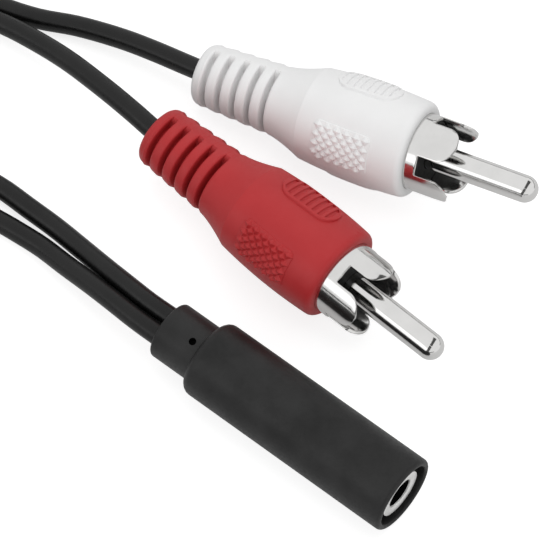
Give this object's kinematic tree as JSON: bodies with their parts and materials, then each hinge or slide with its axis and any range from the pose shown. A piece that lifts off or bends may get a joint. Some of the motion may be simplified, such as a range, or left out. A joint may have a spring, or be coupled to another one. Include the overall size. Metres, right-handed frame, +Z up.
{
  "type": "phono adapter cable",
  "caption": "Short adapter cable: a black in-line 3.5 mm jack socket joined by round cords to a white and a red phono plug.",
  "frame": {"origin": "on the surface the cable lies on, under the middle of the box round the two plugs and the socket", "axes": "+Z up out of the surface, the plugs and the socket point towards +X and -Y, +X is to the right in the picture's view, and +Y leads away from it"},
  "size_m": [0.1113, 0.0856, 0.0129],
  "materials": {
    "white_pvc": "satin moulded",
    "red_pvc": "satin moulded",
    "black_pvc": "satin moulded",
    "cord_black": "smooth",
    "nickel": "polished nickel plate",
    "insulator_black": "plain",
    "inner_mould": "plain",
    "copper": "bare copper",
    "dielectric": "plain"
  },
  "bodies": {
    "root": {"left_plug_housing": "white_pvc", "left_inner_mould": "inner_mould", "left_shell": "nickel", "left_insulator": "insulator_black", "left_pin": "nickel", "left_ground_tab": "nickel", "left_core_insulation": "dielectric", "left_core_wire": "copper", "left_screen_tail": "copper", "right_plug_housing": "red_pvc", "right_inner_mould": "inner_mould", "right_shell": "nickel", "right_insulator": "insulator_black", "right_pin": "nickel", "right_ground_tab": "nickel", "right_core_insulation": "dielectric", "right_core_wire": "copper", "right_screen_tail": "copper", "socket_housing": "black_pvc", "socket_bushing": "nickel", "contact_frame": "insulator_black", "tip_spring": "nickel", "ring_spring": "nickel", "sleeve_lug": "nickel", "socket_left_insulation": "dielectric", "socket_left_wire": "copper", "socket_left_screen_tail": "copper", "left_cord": "cord_black", "socket_right_insulation": "dielectric", "socket_right_wire": "copper", "socket_right_screen_tail": "copper", "right_cord": "cord_black"}
  },
  "joints": []
}
